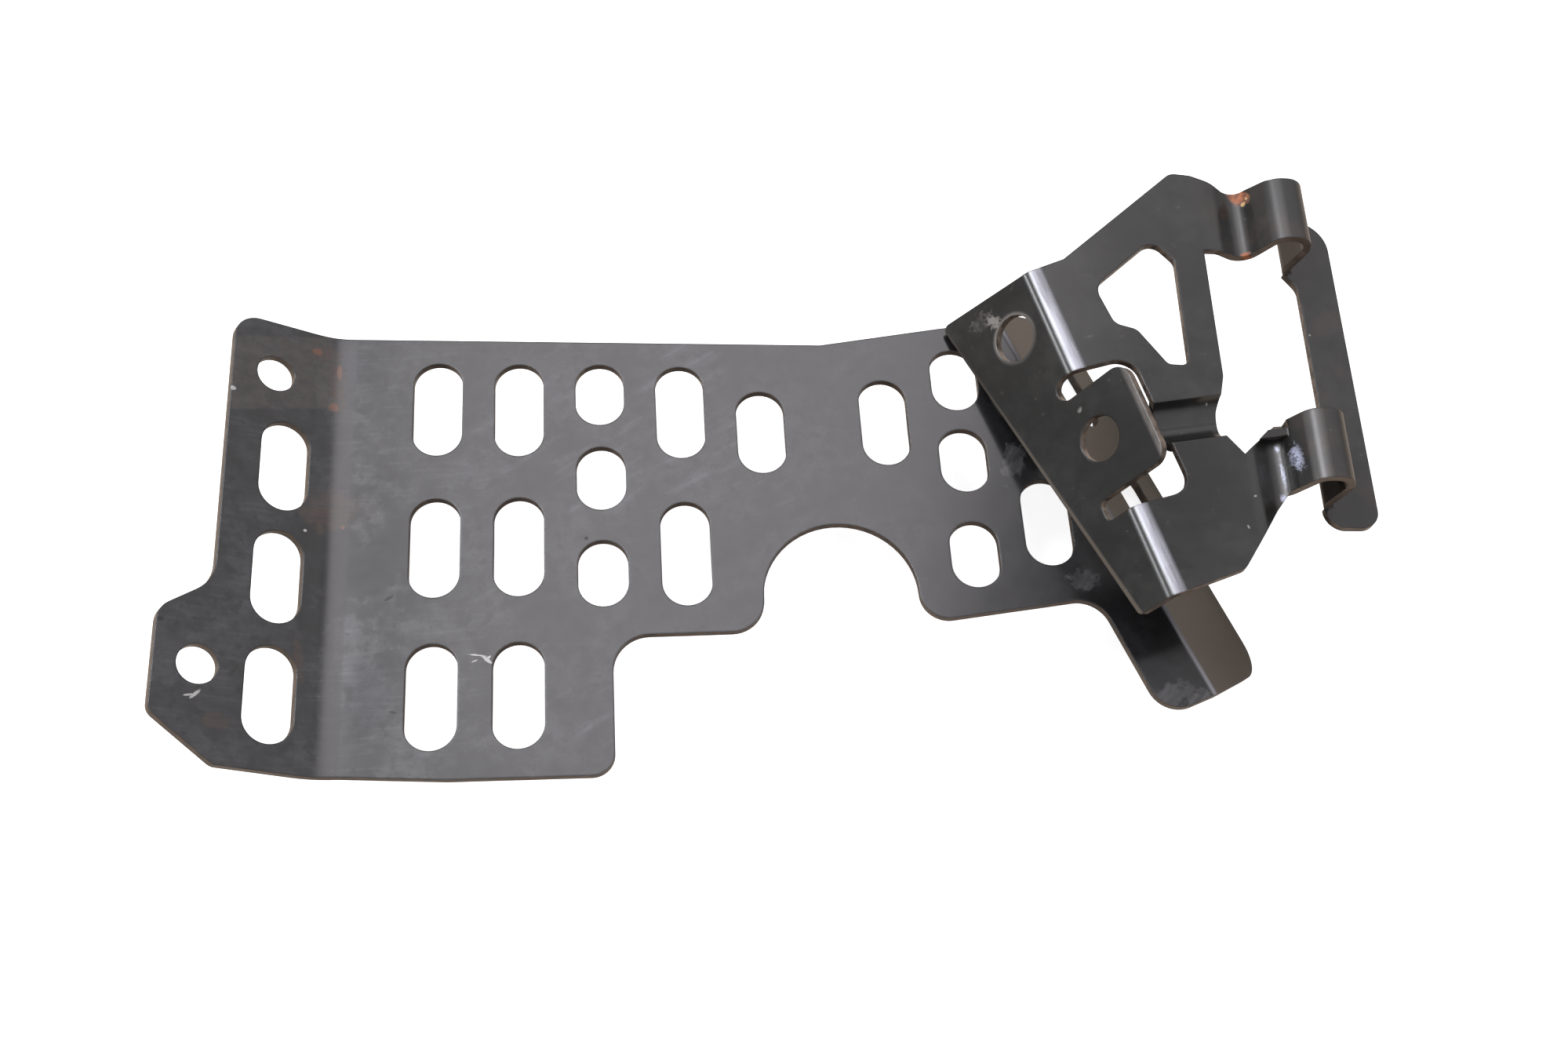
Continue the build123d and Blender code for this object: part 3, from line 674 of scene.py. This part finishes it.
TABLE_HALF = 6.0  # half of the table top's side
PART_MIDDLE = (0.055, 0.02, 0.02)  # what the two panels on the left face
FLAG_CORNERS = (
    (0.238, 0.343, 1.15),
    (0.492, 0.343, 1.15),
    (0.492, 0.672, 1.15),
    (0.340, 0.672, 1.15),
)
PANEL_BLUE = (0.94, 0.96, 1.0)
SOFTBOX_PINK = (1.0, 0.965, 1.0)
SURROUND_PINK = (1.0, 0.965, 0.985)


def sheet_between(name, corners):
    """Flat four-sided sheet between its corners a, b, c and d.

    The place at shares s and t of the two sides is (1-s)(1-t) a + s(1-t) b + s t c + (1-s) t d.
    """
    s, t = (side[..., None] for side in np.meshgrid([0.0, 1.0], [0.0, 1.0], indexing="ij"))
    a, b, c, d = (np.array(corner) for corner in corners)
    points = (1 - s) * (1 - t) * a + s * (1 - t) * b + s * t * c + (1 - s) * t * d
    return new_piece(name, points.reshape(-1, 3), [(0, 2, 3, 1)])


def pale_table(lowest):
    """Wide square table top just under the part."""
    corners = ((-1, -1), (1, -1), (1, 1), (-1, 1))
    return sheet_between("table", [(x * TABLE_HALF, y * TABLE_HALF, lowest) for x, y in corners])


def dark_flag():
    """Black card that keeps the softbox off one side of the part, out of the camera's sight."""
    flag = sheet_between("dark flag", FLAG_CORNERS)
    flag.visible_camera = False
    return flag


def flag_finish():
    """Black felt, which gives almost no light back."""
    material = empty_material("black felt")
    tree = material.node_tree
    felt = add_node(tree, "BsdfDiffuse", {"Color": solid("#303030"), "Roughness": 1.0})
    add_node(tree, "OutputMaterial", {"Surface": felt})
    return material


def table_finish():
    """Pale laminate, bright to the eye and warm and quiet in what the gloss paint mirrors."""
    material = empty_material("pale laminate")
    tree = material.node_tree
    laminate = {
        "Base Color": solid("#b4b4b4"),
        "Roughness": 0.8,
        "Specular IOR Level": 0.0,
        "Emission Color": solid("#ffffff"),
        "Emission Strength": 0.8,
    }
    seen = add_node(tree, "BsdfPrincipled", laminate)
    around = add_node(tree, "BsdfDiffuse", {"Color": solid("#b4a798")})
    eye = add_node(tree, "LightPath", out="Is Camera Ray")
    either = add_node(tree, "MixShader", [eye, around, seen])
    add_node(tree, "OutputMaterial", {"Surface": either})
    return material


def soft_lamp(name, place, aim, across, size, glow, colour):
    """Oblong soft light that faces a point, with its first side along a direction.

    A flat light sends power / (pi area) from each point of its face, so the power follows from
    the glow wanted.
    """
    facing = (Vector(place) - Vector(aim)).normalized()
    side = Vector(across)
    side = (side - facing * side.dot(facing)).normalized()
    turn = Matrix((side, facing.cross(side), facing)).transposed()
    data = bpy.data.lights.new(name, "AREA")
    data.shape = "RECTANGLE"
    data.size, data.size_y = size
    data.energy = float(glow * np.pi * size[0] * size[1])
    data.color = colour
    lamp = bpy.data.objects.new(name, data)
    lamp.matrix_world = Matrix.Translation(place) @ turn.to_4x4()
    bpy.context.scene.collection.objects.link(lamp)


def sky(strength_low, strength_high):
    """Soft surround, brighter overhead than at the sides, with a pale backdrop behind the part."""
    world = bpy.data.worlds.new("soft surround")
    world.use_nodes = True
    tree = world.node_tree
    tree.nodes.clear()
    height = add_node(tree, "TexCoord", out="Generated")
    height = add_node(tree, "SeparateXYZ", [height], out="Z")
    strength = [height, 0.0, 0.65, strength_low, strength_high]
    strength = add_node(tree, "MapRange", strength, **SMOOTH)
    light = add_node(tree, "Background", [solid(SURROUND_PINK), strength])
    backdrop = add_node(tree, "Background", [solid("#f6f6f6"), 1.0])
    eye = add_node(tree, "LightPath", out="Is Camera Ray")
    either = add_node(tree, "MixShader", [eye, light, backdrop])
    add_node(tree, "OutputWorld", {"Surface": either})
    bpy.context.scene.world = world


# ---- settings --------------------------------------------------------------------------------


class PaintSettings(bpy.types.PropertyGroup):
    """Colours and gloss of the black paint."""

    plate_colour: bpy.props.FloatVectorProperty(
        name="Plate paint",
        description="Colour of the guard plate's paint",
        subtype="COLOR",
        size=3,
        min=0.0,
        max=1.0,
        default=linear("#0c0c0d"),
    )
    plate_haze: bpy.props.FloatVectorProperty(
        name="Plate haze",
        description="Colour of the hazy patches on the guard plate",
        subtype="COLOR",
        size=3,
        min=0.0,
        max=1.0,
        default=linear("#434346"),
    )
    plate_gloss: bpy.props.FloatProperty(
        name="Plate roughness",
        description="Lowest roughness of the guard plate's paint",
        subtype="FACTOR",
        min=0.05,
        max=1.0,
        default=0.17,
    )
    bracket_colour: bpy.props.FloatVectorProperty(
        name="Bracket paint",
        description="Colour of the hook bracket's paint",
        subtype="COLOR",
        size=3,
        min=0.0,
        max=1.0,
        default=linear("#0c0c0b"),
    )
    bracket_haze: bpy.props.FloatVectorProperty(
        name="Bracket haze",
        description="Colour of the hazy patches on the hook bracket",
        subtype="COLOR",
        size=3,
        min=0.0,
        max=1.0,
        default=linear("#3a3a38"),
    )
    bracket_gloss: bpy.props.FloatProperty(
        name="Bracket roughness",
        description="Lowest roughness of the hook bracket's paint",
        subtype="FACTOR",
        min=0.05,
        max=1.0,
        default=0.2,
    )


class WeldSettings(bpy.types.PropertyGroup):
    """Size of the corner weld's bead."""

    radius: bpy.props.FloatProperty(
        name="Radius",
        description="Height of the bead above the plate",
        unit="LENGTH",
        min=0.0005,
        default=0.0016,
    )
    overrun: bpy.props.FloatProperty(
        name="Overrun",
        description="Length of the dome past each end of the tack",
        unit="LENGTH",
        min=0.0,
        default=0.0005,
    )
    pitch: bpy.props.FloatProperty(
        name="Ripple pitch",
        description="Distance from one ripple of the bead to the next",
        unit="LENGTH",
        min=0.0002,
        default=0.0007,
    )
    ripple: bpy.props.FloatProperty(
        name="Ripple height",
        description="Height of the ripples as a share of the radius",
        subtype="FACTOR",
        min=0.0,
        max=0.3,
        default=0.035,
    )


class StudioSettings(bpy.types.PropertyGroup):
    """Table, lights and surround."""

    table_gap: bpy.props.FloatProperty(
        name="Table gap",
        description="Distance from the part's lowest point to the table",
        unit="LENGTH",
        min=0.0,
        default=0.0002,
    )
    softbox_glow: bpy.props.FloatProperty(
        name="Softbox glow",
        description="Radiance of the softbox overhead",
        min=0.0,
        default=3.05,
    )
    key_glow: bpy.props.FloatProperty(
        name="Key glow",
        description="Radiance of the two bright panels on the left",
        min=0.0,
        default=22.0,
    )
    side_light: bpy.props.FloatProperty(
        name="Side light",
        description="Brightness of the surround at table height",
        min=0.0,
        default=0.35,
    )
    top_light: bpy.props.FloatProperty(
        name="Top light",
        description="Brightness of the surround overhead",
        min=0.0,
        default=1.35,
    )


# ---- operators -------------------------------------------------------------------------------


class BRACKET_OT_paint_plate(bpy.types.Operator):
    """Finish the guard plate in worn semi-gloss black paint"""

    bl_idname = "bracket.paint_plate"
    bl_label = "Paint guard plate"

    def execute(self, context):
        settings = context.scene.bracket_paint
        finish = black_paint(
            "dipped black paint, plate",
            tuple(settings.plate_colour),
            tuple(settings.plate_haze),
            settings.plate_gloss,
            plate_film,
            plate_marks,
            PLATE_SHEETS,
            PLATE_BROWNS,
        )
        paint("guard_plate", finish)
        return {"FINISHED"}


class BRACKET_OT_paint_bracket(bpy.types.Operator):
    """Finish the hook bracket in worn satin black paint"""

    bl_idname = "bracket.paint_bracket"
    bl_label = "Paint hook bracket"

    def execute(self, context):
        settings = context.scene.bracket_paint
        finish = black_paint(
            "dipped black paint, bracket",
            tuple(settings.bracket_colour),
            tuple(settings.bracket_haze),
            settings.bracket_gloss,
            bracket_film,
            bracket_marks,
            BRACKET_SHEETS,
            BRACKET_BROWNS,
        )
        paint("hook_bracket", finish)
        return {"FINISHED"}


class BRACKET_OT_add_weld(bpy.types.Operator):
    """Lay a rippled weld bead in place of the plain tack and paint it black"""

    bl_idname = "bracket.add_weld"
    bl_label = "Add corner weld"

    def execute(self, context):
        weld = context.scene.bracket_weld
        bead = weld_bead(
            "corner_weld_bead",
            WELD_FROM,
            WELD_TO,
            weld.radius,
            weld.overrun,
            weld.pitch,
            weld.ripple,
        )
        finish = black_paint(
            "dipped black paint, weld", "#101010", "#1c1c1c", WELD_GLOSS, weld_film, weld_marks
        )
        bead.data.materials.append(finish)
        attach(bead, "root")
        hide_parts("corner_tack")
        return {"FINISHED"}


class BRACKET_OT_set_stage(bpy.types.Operator):
    """Set up the table, the soft lights and the camera"""

    bl_idname = "bracket.set_stage"
    bl_label = "Set stage"

    def execute(self, context):
        studio = context.scene.bracket_studio
        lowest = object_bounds()[0][2]
        table = pale_table(lowest - studio.table_gap)
        table.data.materials.append(table_finish())
        table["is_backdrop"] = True
        flag = dark_flag()
        flag.data.materials.append(flag_finish())
        flag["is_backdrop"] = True
        sky(studio.side_light, studio.top_light)
        soft_lamp(
            "overhead softbox",
            place=(0.074, 0.626, 1.2),
            aim=(0.074, 0.626, 0.0),
            across=(0.99, 0.14, 0.0),
            size=(0.66, 0.75),
            glow=studio.softbox_glow,
            colour=SOFTBOX_PINK,
        )
        soft_lamp(
            "key panel",
            place=(-1.06, 0.81, 2.12),
            aim=PART_MIDDLE,
            across=(0.285, 0.073, 0.104),
            size=(0.70, 1.10),
            glow=studio.key_glow,
            colour=PANEL_BLUE,
        )
        soft_lamp(
            "side strip",
            place=(-2.14, 0.53, 1.09),
            aim=PART_MIDDLE,
            across=(0.1, 0.03, 0.21),
            size=(0.26, 1.10),
            glow=studio.key_glow,
            colour=PANEL_BLUE,
        )

        camera = bpy.data.objects.new("camera", bpy.data.cameras.new("camera"))
        camera.data.sensor_width = SENSOR_MM
        camera.data.lens = LENS_MM
        camera.data.clip_start = 0.01
        camera.matrix_world = Matrix.Translation(VIEW_PLACE) @ Matrix(VIEW_TURN).to_4x4()
        context.scene.collection.objects.link(camera)
        context.scene.camera = camera
        context.scene.view_settings.view_transform = "Standard"
        return {"FINISHED"}


class BRACKET_PT_finish(bpy.types.Panel):
    """Steps that finish the bracket, in order."""

    bl_idname = "BRACKET_PT_finish"
    bl_label = "Bracket finish"
    bl_space_type = "VIEW_3D"
    bl_region_type = "UI"
    bl_category = "Bracket"

    def draw(self, context):
        for step in STEPS:
            self.layout.operator(step.bl_idname)


STEPS = (
    BRACKET_OT_paint_plate,
    BRACKET_OT_paint_bracket,
    BRACKET_OT_add_weld,
    BRACKET_OT_set_stage,
)
CLASSES = (PaintSettings, WeldSettings, StudioSettings, *STEPS, BRACKET_PT_finish)


def register():
    for cls in CLASSES:
        bpy.utils.register_class(cls)
    bpy.types.Scene.bracket_paint = bpy.props.PointerProperty(type=PaintSettings)
    bpy.types.Scene.bracket_weld = bpy.props.PointerProperty(type=WeldSettings)
    bpy.types.Scene.bracket_studio = bpy.props.PointerProperty(type=StudioSettings)


def unregister():
    del bpy.types.Scene.bracket_studio
    del bpy.types.Scene.bracket_weld
    del bpy.types.Scene.bracket_paint
    for cls in reversed(CLASSES):
        bpy.utils.unregister_class(cls)


def main():
    register()
    bpy.ops.bracket.paint_plate()
    bpy.ops.bracket.paint_bracket()
    bpy.ops.bracket.add_weld()
    bpy.ops.bracket.set_stage()


if __name__ == "__main__":
    main()
